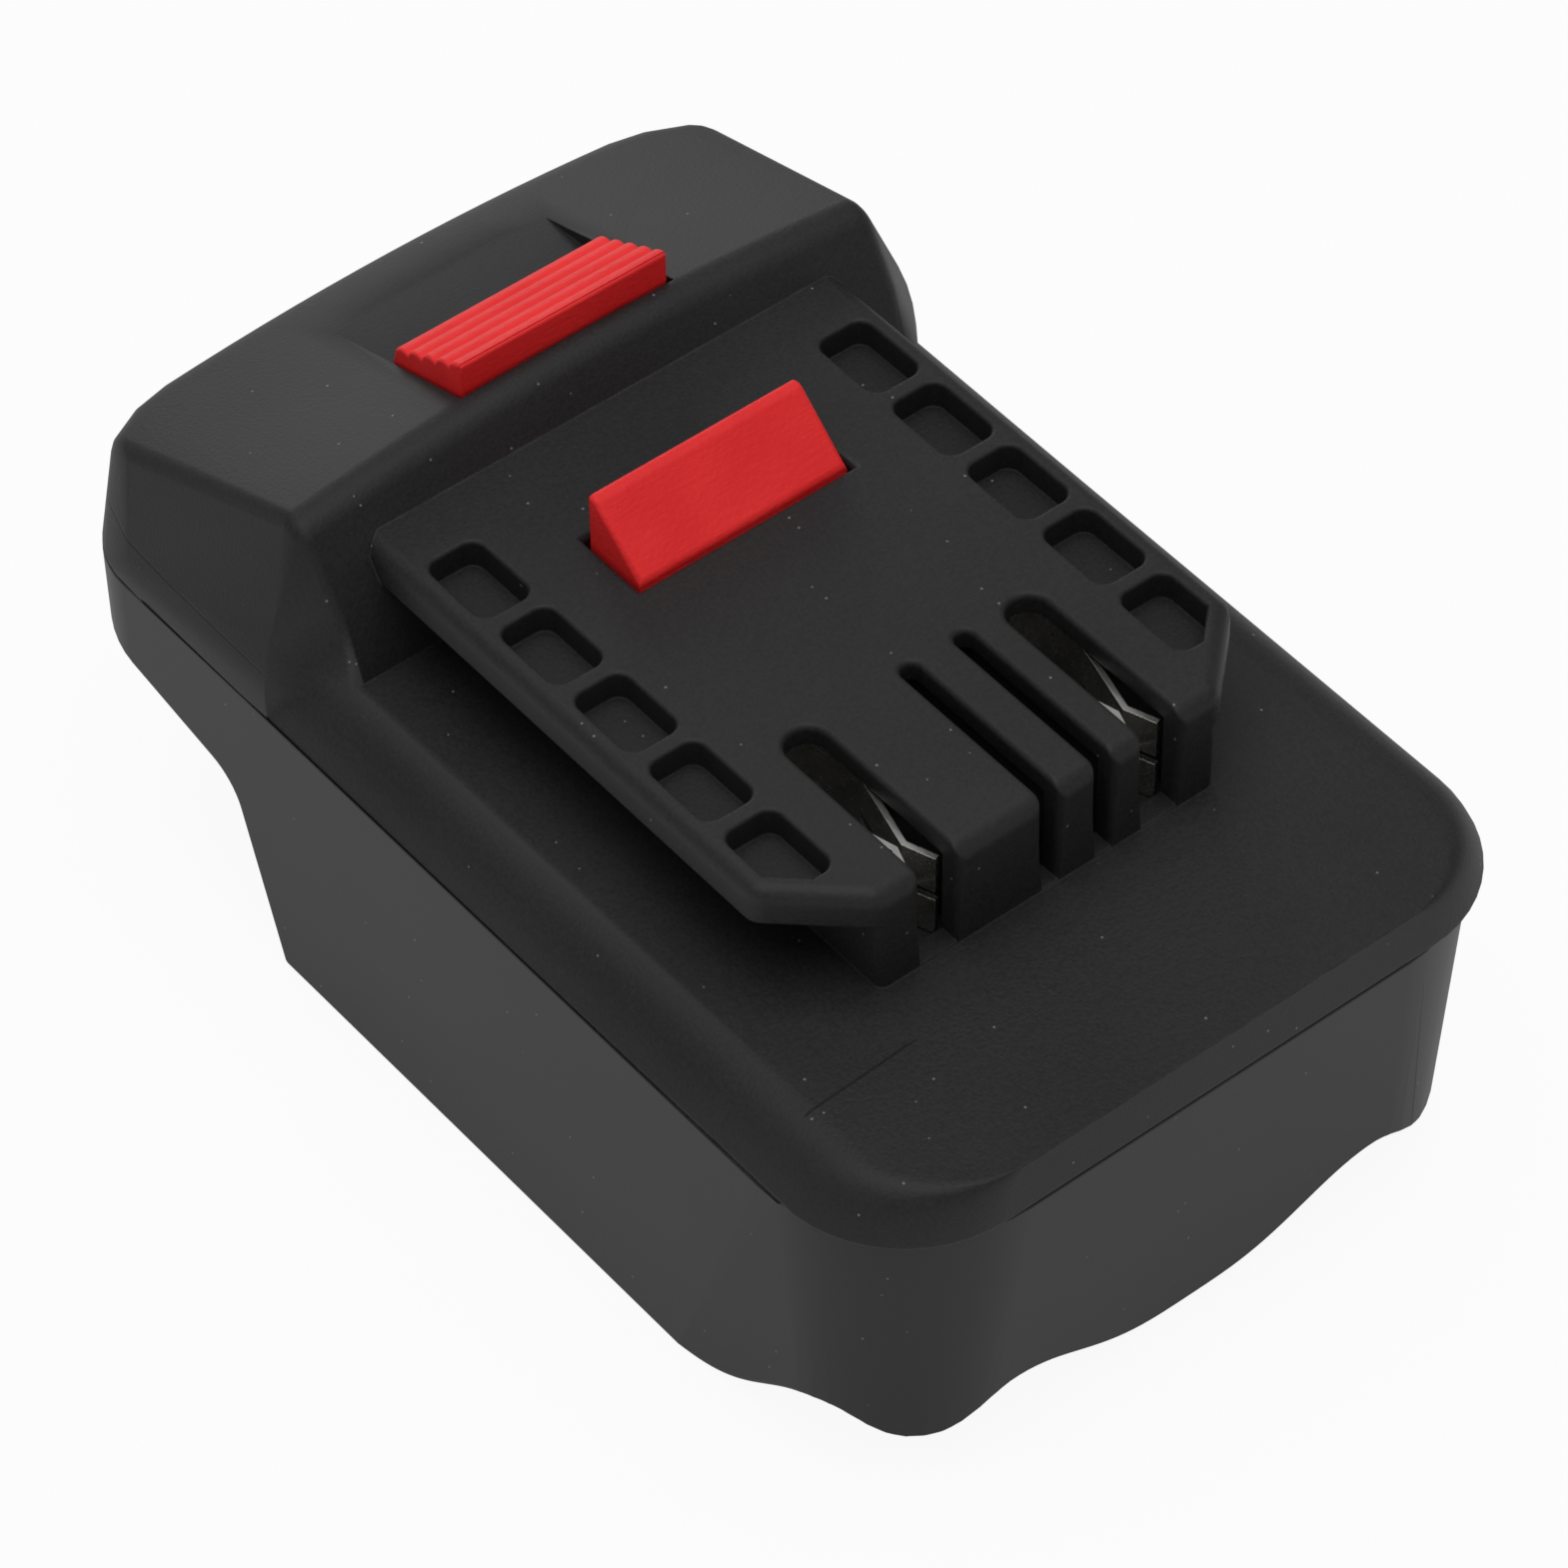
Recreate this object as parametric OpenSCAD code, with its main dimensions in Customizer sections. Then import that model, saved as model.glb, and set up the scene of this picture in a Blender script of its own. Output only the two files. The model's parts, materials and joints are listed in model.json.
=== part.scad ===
// Adapter between a cordless tool's slide foot and a battery pack of another system.
// X runs across, the tongue points to -Y, the head stands at +Y, and Z = 0 is the lower rim.

/* [Housing] */
// Width across the joint line of the two shells
housing_w = 75.8; // [73:0.2:79]
// Length from the front wall to the rear of the head
housing_l = 118.5; // [116:0.5:124]
// Height of the joint line above the lower rim
seam_z = 34.5; // [33:0.5:37]
// Corner radius of the upper shell at the front
front_corner_r = 13.5; // [11:0.5:15]
// Corner radius of both shells at the rear
rear_corner_r = 10; // [8:0.5:12]
// Wall thickness of both shells
wall = 2.4; // [2:0.1:2.8]

/* [Upper shell] */
// Height of the flat plate above the joint line
plate_h = 5.3; // [4.6:0.1:5.6]
// Width of the plate's rolled border at the sides
side_roll = 7.4; // [6.6:0.1:8]
// How far the plate's border leans in at the front
front_inset = 0.45; // [0.3:0.05:1]
// Corner radius of the plate's flat top at the front
plate_corner_r = 9.5; // [8:0.5:11]

/* [Tongue] */
// Height of the tongue above the plate
tongue_rise = 11.8; // [11.4:0.1:12.4]
// Length of the bare plate in front of the tongue
front_deck = 23.05; // [22.5:0.05:24]
// Length of the tongue from its front to the head
tongue_l = 62.05; // [61:0.05:63]
// Width across the flanges
flange_w = 54.2; // [53:0.1:56]
// Thickness of the flanges
flange_t = 4; // [3.7:0.1:4.4]
// Width of the web under the flanges
web_w = 38; // [37.4:0.1:38.8]
// Length of the flange's front chamfer along the tongue
chamfer_l = 7.5; // [6:0.1:8.5]
// Setback of the flange behind the front of the web
flange_setback = 0; // [0:0.1:1.5]
// Thickness of the tongue's top skin and of the web's walls
skin = 2.2; // [1.8:0.1:2.4]

/* [Flange pockets] */
// Pockets in each flange
pocket_count = 5; // [3:1:5]
// Width of a pocket
pocket_w = 5.6; // [4:0.1:6]
// Length of a pocket
pocket_l = 8.7; // [7:0.1:9]
// Rib between two pockets
pocket_rib = 1.7; // [1:0.1:2]
// Depth of a pocket
pocket_d = 3; // [2:0.1:3.2]
// Rim between the pockets and the flange's edge
pocket_rim = 2.1; // [1.6:0.1:2.6]
// Distance from the head to the first pocket
pocket_lead = 6.2; // [5:0.1:7]
// Corner radius of a pocket
pocket_r = 1.4; // [0.8:0.1:1.8]

/* [Terminal slots] */
// Width of the two slots that hold clips
wide_slot_w = 4.2; // [3.8:0.1:4.6]
// Distance of those slots from the sides of the web
slot_margin = 6.5; // [6.2:0.1:6.8]
// Width of the two signal slots
narrow_slot_w = 1.9; // [1.5:0.1:2.2]
// Distance of the second signal slot from the middle one
narrow_slot_step = 6.1; // [5.6:0.1:6.4]
// Length of the slots from the front of the web
slot_l = 19.85; // [19:0.05:20.5]
// Height of the slots' floor above the plate
slot_floor_h = 0.2; // [0.1:0.05:0.5]

/* [Head] */
// Width between the head's two end edges
head_w = 66; // [65.5:0.5:66.5]
// How much further out each end of the head is at the rear
rear_flare = 1.6; // [1.5:0.1:1.7]
// Height of the head's ridge above the tongue
head_rise = 5; // [4.6:0.1:6]
// Angle of the head's front face
head_lean = 58; // [55:1:63]
// Angle of the head's front face below the flanges
head_foot_lean = 72; // [68:1:78]
// Fall of the head's top towards the rear
head_fall = 17.5; // [16:0.5:18.5]
// Crown of the head's top from its middle to its ends
head_crown = 1.8; // [1.2:0.1:2.4]
// Extra crown at the rear edge
rear_crown = 0.7; // [0.4:0.1:1.4]
// Corner radius of the head's top at the rear
head_corner_r = 12.5; // [11:0.5:14]
// Rounding of the ridge
ridge_r = 3.2; // [3:0.1:4]
// Rounding of the rear top edge
head_rear_r = 4.5; // [4:0.1:6]
// Rounding between the head's top and its end faces
head_end_r = 1.6; // [1.2:0.1:2]
// Bulge of the head's end faces
end_bulge = 1.4; // [0.8:0.1:1.6]
// Setback of the end faces behind the front face, at the joint line
end_setback = 8; // [6:0.5:10]

/* [Release latch] */
// Width of the latch's button and wedge
latch_w = 23.5; // [21:0.1:24]
// Length of the wedge along the tongue
wedge_l = 7.4; // [6.5:0.1:8]
// Height of the wedge above the tongue
wedge_h = 5.5; // [5:0.1:6.2]
// Length of the flat on top of the wedge
wedge_flat = 1.1; // [0.8:0.1:2]
// Distance from the head to the wedge's upright face
wedge_lead = 12.75; // [12:0.05:14]
// Distance from the tongue's end to the button
button_lead = 5.4; // [5.2:0.1:6]
// Length of the button
button_l = 10.4; // [9.5:0.1:10.6]
// Height of the button's front above the head
button_front_h = 3.5; // [3:0.1:4]
// Height of the button's rear above the head
button_rear_h = 1.3; // [0.8:0.1:2]
// Ribs across the button
rib_count = 5; // [4:1:7]
// Depth of the grooves between the ribs
rib_depth = 0.5; // [0.3:0.1:0.6]
// Travel of the latch when it is pressed
latch_travel = 4.5; // [4:0.1:4.8]
// Thickness of the latch's bridge under the cover
bridge_t = 3; // [2.6:0.1:3.2]
// Depth of the bridge below the latch's stop flange
bridge_drop = 1.1; // [0.8:0.1:1.2]
// Thickness of the latch's stop flange
latch_flange_t = 2.5; // [2:0.1:2.8]
// Lap of the stop flange under the tongue's skin
latch_flange_lap = 2.7; // [2:0.1:3]
// Gap around the latch in its windows
window_gap = 0.4; // [0.3:0.05:0.5]
// Length of the finger recess behind the button
recess_l = 9.7; // [8:0.1:10.5]
// Depth of the finger recess
recess_d = 2.2; // [1.5:0.1:2.4]

/* [Latch springs] */
// Outer diameter of a spring
spring_d = 6.4; // [5.6:0.1:7]
// Wire diameter of a spring
spring_wire = 0.7; // [0.5:0.1:0.8]
// Distance of the springs from the ends of the latch
spring_margin = 3.75; // [3.6:0.05:4.5]
// Height of the springs' seats above the ceiling
spring_seat_h = 3.5; // [3:0.1:5]
// Length of the stubs that centre the springs
stub_l = 2; // [1.5:0.1:2.5]
// Width of the ledge around a spring's seat
seat_ledge = 1; // [0.6:0.1:1.2]

/* [Socket] */
// Front corner radius of the lower shell at the joint line
lower_corner_r = 16.5; // [14:0.5:18]
// How far the side walls lean in at the rim
side_lean = 0.6; // [0.4:0.1:1.2]
// How far the front wall leans in at the rim
front_lean = 2.9; // [2:0.1:3.4]
// Length of the swept front corner at the rim
sweep_l = 29.1; // [26:0.1:31]
// Radius of the swept corner at the rim
sweep_r = 12.2; // [11:0.1:13]
// How far the swept corner leans in beside the side wall
sweep_inset = 1.7; // [1.2:0.1:2.4]
// Height of the socket's ceiling above the rim
ceiling_z = 25; // [24.4:0.1:26]
// Thickness of the ceiling
ceiling_t = 2.5; // [2:0.1:2.8]
// Distance from the rear to the side walls' lower corner
side_end = 30.8; // [29:0.1:32]
// Lean of the side walls' rear edge from upright
side_end_lean = 16; // [12:1:20]
// Depth of the tail's lower edge below the joint line, at the rear
tail_d = 8.9; // [8.4:0.1:9.4]
// Fall of the tail's lower edge towards the front
tail_fall = 12; // [8:1:14]
// Fillet between the tail and the side walls
tail_fillet = 5; // [4:0.5:7]
// Height of the front feet above the rim
foot_z = 5.1; // [4.6:0.1:5.6]
// Height of the front wall's lower edge in the middle
front_edge_z = 2.8; // [2.4:0.1:3.4]
// How quickly the edges fall away from their notches
fall_power = 1.7; // [1.4:0.1:2]
// Height of the notches beside the front feet
notch_z = 8.2; // [7.5:0.1:9]
// Distance of those notches from the middle
notch_x = 21; // [20:0.1:22]
// Distance of the front feet from the middle
foot_x = 29.2; // [28.6:0.1:30]
// Height of the notches in the side walls
side_notch_z = 8; // [7:0.1:8.5]
// Distance of those notches from the front
side_notch_y = 10.5; // [10:0.05:11.5]
// Length of the side edge's fall behind those notches
side_run = 20; // [18:0.5:22]
// Length of its fall in front of them, to the front feet
foot_run = 6; // [5:0.1:7]
// Width of the rails that carry the pack
rail_w = 4.8; // [4:0.1:5.5]
// Height of the rails above the rim
rail_z = 12; // [10:0.5:13]
// Thickness of the rails
rail_t = 4; // [3:0.1:4.6]
// Distance from the front to the rails
rail_lead = 17.5; // [17:0.5:19]
// Width of the pocket for the pack's own catch
catch_w = 20.4; // [18:0.1:22]
// Length of that pocket
catch_l = 7; // [6:0.1:7.6]
// Depth of that pocket
catch_d = 7; // [6:0.1:7.4]
// Distance of that pocket behind the button's front
catch_lead = 1.5; // [1:0.1:2]

/* [Contacts] */
// Thickness of the clips' sheet metal
clip_t = 0.6; // [0.4:0.05:0.7]
// Gap at the clips' pinch
clip_pinch = 0.4; // [0.3:0.05:0.6]
// Distance between a clip's two straight leaves
clip_w = 5.4; // [5.2:0.1:5.6]
// Distance from the front of the web to the clips' tips
clip_lead = 2.35; // [2.3:0.05:2.7]
// Length of the clips' flared tips
flare_l = 3.1; // [2.6:0.1:3.4]
// Length of the clips' springing part
leaf_l = 8; // [7.4:0.1:8.4]
// Length of the clips' straight part
clip_back_l = 7.2; // [6.6:0.1:7.8]
// Height of the slit between the clips' upper and lower leaves
slit_h = 1; // [0.6:0.1:1.2]
// Length of the solder tags on the clips
clip_tag_l = 6; // [5.6:0.1:6.4]
// Height of the solder tags on the clips
clip_tag_h = 3; // [2.7:0.1:3.2]
// Thickness of the blades
blade_t = 0.8; // [0.6:0.05:1]
// Height of the blades
blade_h = 6.3; // [5:0.1:7]
// Free length of the blades in the socket
blade_l = 14; // [11:0.1:15]
// Width of the blades' solder tags
blade_tag_w = 4; // [3:0.1:4.4]
// Height of the blades above the rim
blade_z = 13; // [12:0.1:14]
// Diameter of the leads
lead_d = 2.6; // [2:0.1:2.7]
// Straight length of the leads behind the clips
lead_tail = 2; // [1.5:0.1:2.5]
// Height of the leads' lower run above the ceiling
lead_rise = 3.5; // [3:0.1:4]

/* [Contact carrier and terminal block] */
// Height of the contact carrier
carrier_h = 12.8; // [12.4:0.1:13]
// Height of the carrier's channels above its underside
channel_floor = 3; // [2.6:0.1:3.2]
// Thickness of the carrier behind the clips
carrier_back = 4; // [3.6:0.1:4.4]
// Length of the carrier's ear
ear_l = 8; // [7.4:0.1:8.4]
// Width of the carrier's ear
ear_w = 18; // [17:0.1:19]
// Thickness of the carrier's ear
ear_t = 3; // [2.4:0.1:3.4]
// Distance of the ear's screws from its end
ear_edge = 3.6; // [3.3:0.1:3.8]
// Width of the terminal block
block_w = 40; // [36:0.5:44]
// Length of the terminal block
block_l = 12; // [11.5:0.1:12.5]
// Height of the terminal block
block_h = 16; // [14.5:0.1:17]
// Distance from the front to the terminal block
block_lead = 5.25; // [5.1:0.05:5.6]
// Thickness of the terminal block in front of the blades
block_face = 2; // [1.5:0.1:2.4]
// Thickness of the terminal block behind the solder tags
block_back = 1; // [0.8:0.1:1.4]

/* [Screws] */
// Diameter of the housing screws
screw_d = 3; // [2.5:0.1:3.2]
// Diameter of the housing screws' heads
screw_head_d = 5.6; // [5:0.1:6]
// Height of the housing screws' heads
screw_head_h = 2.2; // [1.8:0.1:2.4]
// Length of the housing screws under the head
screw_l = 7.9; // [7:0.1:8.1]
// Distance of the housing screws from the middle
screw_x = 30; // [29.5:0.1:30.4]
// Distance of the housing screws from the front and the rear
screw_y = 13.25; // [12.8:0.05:13.6]
// Diameter of the bosses for the housing screws
boss_d = 7.4; // [7:0.1:8]
// Depth of the heads' seats in the ceiling
seat_d = 5; // [4:0.1:5.4]
// Diameter of the small screws
small_screw_d = 2.2; // [1.8:0.1:2.4]
// Diameter of the small screws' heads
small_head_d = 4.2; // [3.6:0.1:4.4]
// Height of the small screws' heads
small_head_h = 1.6; // [1.2:0.1:1.8]
// Length of the small screws under the head
small_screw_l = 8; // [7:0.1:9]
// Distance of the small screws from the middle
small_screw_x = 5.5; // [5:0.1:6]
// Diameter of the bosses for the small screws
small_boss_d = 6; // [5.5:0.1:6.4]

/* [Clearances] */
// Clearance of a piece in its seat
fit_gap = 0.15; // [0.1:0.05:0.2]
// Radial clearance of a screw in its bore
thread_gap = 0.05; // [0.02:0.01:0.1]
// Clearance of a screw in a plain hole
hole_gap = 0.2; // [0.15:0.05:0.3]
// Gap that the latch keeps below its stop at rest
stop_gap = 0.3; // [0.2:0.05:0.4]

/* [Hidden] */
$fn = 48;
slice = 0.01;
past = 1;
shell_black = "#232427";
socket_black = "#2e2f32";
latch_red = "#cf1f24";
inner_black = "#1b1b1d";
metal = "#d5d7da";
steel = "#8f9296";

y_front = -housing_l / 2;
y_rear = housing_l / 2;
half_w = housing_w / 2;
plate_z = seam_z + plate_h;
tongue_z = plate_z + tongue_rise;
under_skin_z = tongue_z - skin;
ceiling_top = ceiling_z + ceiling_t;

web_front = y_front + front_deck;
tongue_rear = web_front + tongue_l;
slot_rear = web_front + slot_l;
wide_slot_x = web_w / 2 - slot_margin;
slot_floor = plate_z + slot_floor_h;

ridge_y = tongue_rear + head_rise / tan(head_lean);
head_knee_z = tongue_z - flange_t;
ridge_z = tongue_z + head_rise;
end_run = half_w - head_w / 2;
rear_spread = 1 + 2 * rear_flare / head_w;

wedge_rear = tongue_rear - wedge_lead;
wedge_front = wedge_rear - wedge_l;
button_front = tongue_rear + button_lead;
button_rear = button_front + button_l;
recess_rear = button_rear + recess_l;
recess_w = latch_w + 2 * window_gap;
flange_top = under_skin_z - stop_gap;
bridge_top = flange_top - bridge_drop;
bridge_under = bridge_top - bridge_t;
spring_y = (wedge_rear + button_front) / 2;
spring_x = latch_w / 2 - spring_margin;
spring_seat = ceiling_top + spring_seat_h;
stub_d = spring_d - 2 * spring_wire - 2 * stop_gap;
// The stubs of the latch and of the ceiling never meet when the latch is pressed
stub_h = min(stub_l, (bridge_under - spring_seat - latch_travel) / 2 - stop_gap);

tip_y = web_front + clip_lead;
pinch_y = tip_y + flare_l;
knee_y = pinch_y + leaf_l;
clip_rear = knee_y + clip_back_l;
clip_tag_end = clip_rear + clip_tag_l;
carrier_front = web_front + skin + fit_gap;
carrier_top = under_skin_z - fit_gap;
carrier_z = carrier_top - carrier_h;
channel_z = carrier_z + channel_floor;
channel_rear = clip_rear + clip_t / 2 + fit_gap;
carrier_rear = channel_rear + carrier_back;
channel_w = clip_w + clip_t + 2 * fit_gap;
clip_z = channel_z + fit_gap;
clip_top = carrier_top - fit_gap;
clip_tag_z = clip_z + stop_gap;
ear_screw_y = carrier_rear + ear_l - ear_edge;

block_front = y_front + block_lead;
block_rear = block_front + block_l;
blade_front = block_front + block_face;
blade_tag_rear = block_rear - block_back;
blade_tag_front = blade_tag_rear - blade_tag_w;
lead_low_z = ceiling_top + lead_rise;
lead_high_z = clip_tag_z + clip_tag_h / 2;
lead_bend_r = (lead_high_z - lead_low_z) / 2;
lead_bend_y = clip_tag_end + lead_tail;
block_screw_y = (block_front + blade_tag_rear) / 2;
seat_z = ceiling_z + seat_d;

// Height of the head's top, before its edges are rounded
function head_top(x, y, more = 0) = ridge_z - head_sag(x) * (1 + more / head_crown)
    - tan(head_fall) * (y - ridge_y);
function head_sag(x) = head_crown * pow(2 * x / head_w, 2);
// Line of the head's front face at a height; below the flanges it is steeper
function head_front(z) = tongue_rear + (max(z, head_knee_z) - tongue_z) / tan(head_lean)
    - max(0, head_knee_z - z) / tan(head_foot_lean);
// Rear outline of the head's top at a distance from the middle
function rear_at(x) = y_rear - head_corner_r
    + sqrt(pow(head_corner_r, 2) - pow(max(0, abs(x) - (half_w - head_corner_r)), 2));
// Centre of the ridge's rounding, as [y, z]: it touches the front face and the top
function ridge_centre(x) =
    let (p = ridge_r + sin(head_lean) * tongue_rear - cos(head_lean) * tongue_z,
         q = ridge_r - sin(head_fall) * ridge_y - cos(head_fall) * (ridge_z - head_sag(x)))
    [cos(head_fall) * p - cos(head_lean) * q, -sin(head_lean) * q - sin(head_fall) * p]
        / sin(head_lean + head_fall);
// Centre of the rear edge's rounding, as [y, z]: it touches the rear face and the top
function rear_centre(x) = let (y = rear_at(x * rear_spread) - head_rear_r)
    [y, head_top(x, y, rear_crown) - head_rear_r / cos(head_fall)];

function unit(v) = v / norm(v);
function left_of(v) = [-v.y, v.x];
function reversed(p) = [for (i = [len(p) - 1 : -1 : 0]) p[i]];
// A bent line moved to its left, with mitred corners
function beside(p, d) = [for (i = [0 : len(p) - 1])
    let (a = unit(i > 0 ? p[i] - p[i - 1] : p[1] - p[0]),
         b = i < len(p) - 1 ? unit(p[i + 1] - p[i]) : a,
         n = left_of(unit(a + b)))
    p[i] + n * d / (n * left_of(a))];

// Sheet metal seen from its edge, along a bent line
module strip(line, t) {
    polygon(concat(beside(line, t / 2), reversed(beside(line, -t / 2))));
}

// A profile in Y and Z, as wide as w across X
module across(w) {
    rotate([90, 0, 90])
        linear_extrude(w, center = true)
            children();
}

// A profile in X and Z, from y0 back to y1
module along(y0, y1) {
    translate([0, y1, 0])
        rotate([90, 0, 0])
            linear_extrude(y1 - y0)
                children();
}

// A box across the middle, from low to high in Y and Z
module bar(w, y0, y1, z0, z1) {
    translate([-w / 2, y0, z0])
        cube([w, y1 - y0, z1 - z0]);
}

// Thin round posts at the four corners of an outline
module corner_posts(w, y0, y1, r0, r1, z) {
    for (side = [-1, 1]) {
        translate([side * (w - r0), y0 + r0, z])
            cylinder(r = r0, h = slice);
        translate([side * (w - r1), y1 - r1, z])
            cylinder(r = r1, h = slice);
    }
}

// The flat plate; its border stands upright at the front and rolls over softly at the sides
module plate_form(inset) {
    roll_steps = 7;
    roll_power = 3;
    hull() {
        corner_posts(half_w - inset, y_front + inset, y_rear - inset,
            front_corner_r - inset, rear_corner_r - inset, seam_z - (inset > 0 ? past : 0));
        for (i = [1 : roll_steps]) {
            t = i / roll_steps;
            rise = plate_h * (1 - pow(1 - t, roll_power));
            corner_posts(half_w - side_roll * t - inset, y_front + front_inset * rise / plate_h + inset,
                y_rear - rear_corner_r, front_corner_r + (plate_corner_r - front_corner_r) * t - inset,
                rear_corner_r / 2, seam_z + rise - inset - slice);
        }
    }
}

// The head: its top and ridge in slices across X, rounded over at its bulged ends
module head_form(inset) {
    slices = 18;
    end_steps = 4;
    bulge_steps = 6;
    reach = head_w / 2 - inset;
    straight = reach - head_end_r;
    spread = concat([for (i = [0 : slices]) [straight * (2 * i / slices - 1), 0]],
        [for (side = [-1, 1], i = [1 : end_steps])
            let (a = 90 * i / end_steps)
            [side * (straight + head_end_r * sin(a)), head_end_r * (1 - cos(a))]]);
    end_ridge = ridge_centre(head_w / 2);
    end_rear = rear_centre(head_w / 2);
    low = seam_z - (inset > 0 ? past : 0);
    hull() {
        for (p = spread) {
            a = ridge_centre(p[0]);
            b = rear_centre(p[0]);
            translate([p[0], a.x, a.y])
                rotate([0, 90, 0])
                    cylinder(r = max(slice, ridge_r - inset - p[1]), h = slice, center = true);
            translate([p[0] * rear_spread, b.x, b.y])
                rotate([0, 90, 0])
                    cylinder(r = max(slice, head_rear_r - inset - p[1]), h = slice, center = true);
        }
        for (p = spread, z = [low, head_knee_z])
            translate([p[0], head_front(z) + (inset + p[1]) / sin(head_lean), z + slice / 2])
                cube(slice, center = true);
        for (side = [-1, 1])
            translate([side * (half_w - rear_corner_r), y_rear - rear_corner_r, low])
                cylinder(r = max(past, rear_corner_r - inset - (inset > 0 ? end_run : 0)), h = slice);
        if (inset == 0)
            for (side = [-1, 1], i = [1 : bulge_steps]) {
                s = i / bulge_steps;
                x = half_w - end_run * (1 - s) + end_bulge * 4 * s * (1 - s) - slice;
                front_z = seam_z + (end_ridge.y - seam_z) * (1 - s);
                rear_z = seam_z + (end_rear.y - seam_z) * (1 - s);
                translate([side * x, head_front(front_z) + ridge_r + (end_setback - ridge_r) * s, front_z])
                    cube(slice, center = true);
                translate([side * (x + rear_flare * (1 - s)), end_rear.x - rear_corner_r * s / 2, rear_z])
                    cube(slice, center = true);
            }
    }
}

// Plan of a flange pair, moved in from its edge
module flange_plan(inset) {
    w = flange_w / 2 - inset;
    nose = web_front + flange_setback;
    // The chamfer keeps its distance from the edge
    run = flange_w / 2 - web_w / 2;
    shift = inset * (sqrt(pow(run, 2) + pow(chamfer_l, 2)) - chamfer_l) / run;
    polygon([[-w, tongue_rear + ridge_r], [w, tongue_rear + ridge_r],
        [w, nose + chamfer_l + shift], [w - run, nose + shift],
        [run - w, nose + shift], [-w, nose + chamfer_l + shift]]);
}

module tongue_form() {
    translate([0, 0, tongue_z - flange_t])
        linear_extrude(flange_t)
            flange_plan(0);
    bar(web_w, web_front, tongue_rear + ridge_r, plate_z - wall / 2, tongue_z);
}

// A rounded rectangle from two corners
module soft_rect(x0, x1, y0, y1, r) {
    translate([x0 + r, y0])
        square([x1 - x0 - 2 * r, y1 - y0]);
    translate([x0, y0 + r])
        square([x1 - x0, y1 - y0 - 2 * r]);
    for (x = [x0 + r, x1 - r], y = [y0 + r, y1 - r])
        translate([x, y])
            circle(r);
}

module flange_pockets() {
    outer = flange_w / 2 - pocket_rim;
    intersection() {
        translate([0, 0, tongue_z - pocket_d])
            linear_extrude(pocket_d + past)
                for (i = [0 : pocket_count - 1])
                    let (y1 = tongue_rear - pocket_lead - i * (pocket_l + pocket_rib)) {
                        soft_rect(outer - pocket_w, outer, y1 - pocket_l, y1, pocket_r);
                        soft_rect(-outer, pocket_w - outer, y1 - pocket_l, y1, pocket_r);
                    }
        translate([0, 0, tongue_z - pocket_d - past])
            linear_extrude(pocket_d + 2 * past)
                flange_plan(pocket_rim);
    }
}

// One terminal slot, open at the front, with a round rear end
module slot_cut(x, w) {
    translate([x, slot_rear - w / 2, slot_floor])
        cylinder(d = w, h = tongue_z - slot_floor + past);
    translate([x - w / 2, web_front - past, slot_floor])
        cube([w, slot_l - w / 2 + past, tongue_z - slot_floor + past]);
}

module terminal_slots() {
    slot_cut(-wide_slot_x, wide_slot_w);
    slot_cut(wide_slot_x, wide_slot_w);
    slot_cut(0, narrow_slot_w);
    slot_cut(narrow_slot_step, narrow_slot_w);
}

module latch_windows() {
    w = latch_w + 2 * window_gap;
    bar(w, wedge_front - window_gap, wedge_rear + window_gap, under_skin_z - past, tongue_z + past);
    bar(w, button_front - window_gap, button_rear + window_gap, bridge_under, ridge_z + button_front_h);
}

// Floor of the finger recess, from the button down to the head's own slope
recess_floor = [[button_rear, head_top(0, button_rear) - recess_d],
    [recess_rear, head_top(0, recess_rear)]];

module finger_recess() {
    across(recess_w)
        polygon(concat(recess_floor, [[recess_rear, ridge_z], [button_rear, ridge_z]]));
}

module recess_tub() {
    w = recess_w + 2 * skin;
    back = recess_floor[1] - [0, 2 * head_sag(w / 2)];
    across(w)
        polygon([[button_rear + window_gap, recess_floor[0].y], back,
            back - [0, skin], [button_rear + window_gap, recess_floor[0].y - skin]]);
}

function screw_ys() = [y_front + screw_y, y_rear - screw_y];

module at_housing_screws() {
    for (x = [-screw_x, screw_x], y = screw_ys())
        translate([x, y, 0])
            children();
}

// The bosses end inside the skin of the plate and of the sloping head
module upper_bosses() {
    edge = screw_x + boss_d / 2;
    sunk = 0.75 * wall;
    intersection() {
        at_housing_screws()
            translate([0, 0, seam_z])
                cylinder(d = boss_d, h = ridge_z - seam_z);
        across(housing_w)
            polygon([[y_front, seam_z], [y_rear, seam_z],
                [y_rear, head_top(edge, y_rear, rear_crown) - sunk],
                [ridge_y, head_top(edge, ridge_y, rear_crown) - sunk], [ridge_y, plate_z - sunk],
                [y_front, plate_z - sunk]]);
    }
    for (x = [-small_screw_x, small_screw_x])
        translate([x, ear_screw_y, carrier_z + ear_t])
            cylinder(d = small_boss_d, h = under_skin_z + skin / 2 - carrier_z - ear_t);
}

module upper_bores() {
    at_housing_screws()
        translate([0, 0, seam_z - past])
            cylinder(d = screw_d + 2 * thread_gap, h = seat_z + screw_l + 2 * thread_gap - seam_z + past);
    for (x = [-small_screw_x, small_screw_x])
        translate([x, ear_screw_y, carrier_z + ear_t - past])
            cylinder(d = small_screw_d + 2 * thread_gap, h = small_screw_l - ear_t + 2 * thread_gap + past);
}

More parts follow.
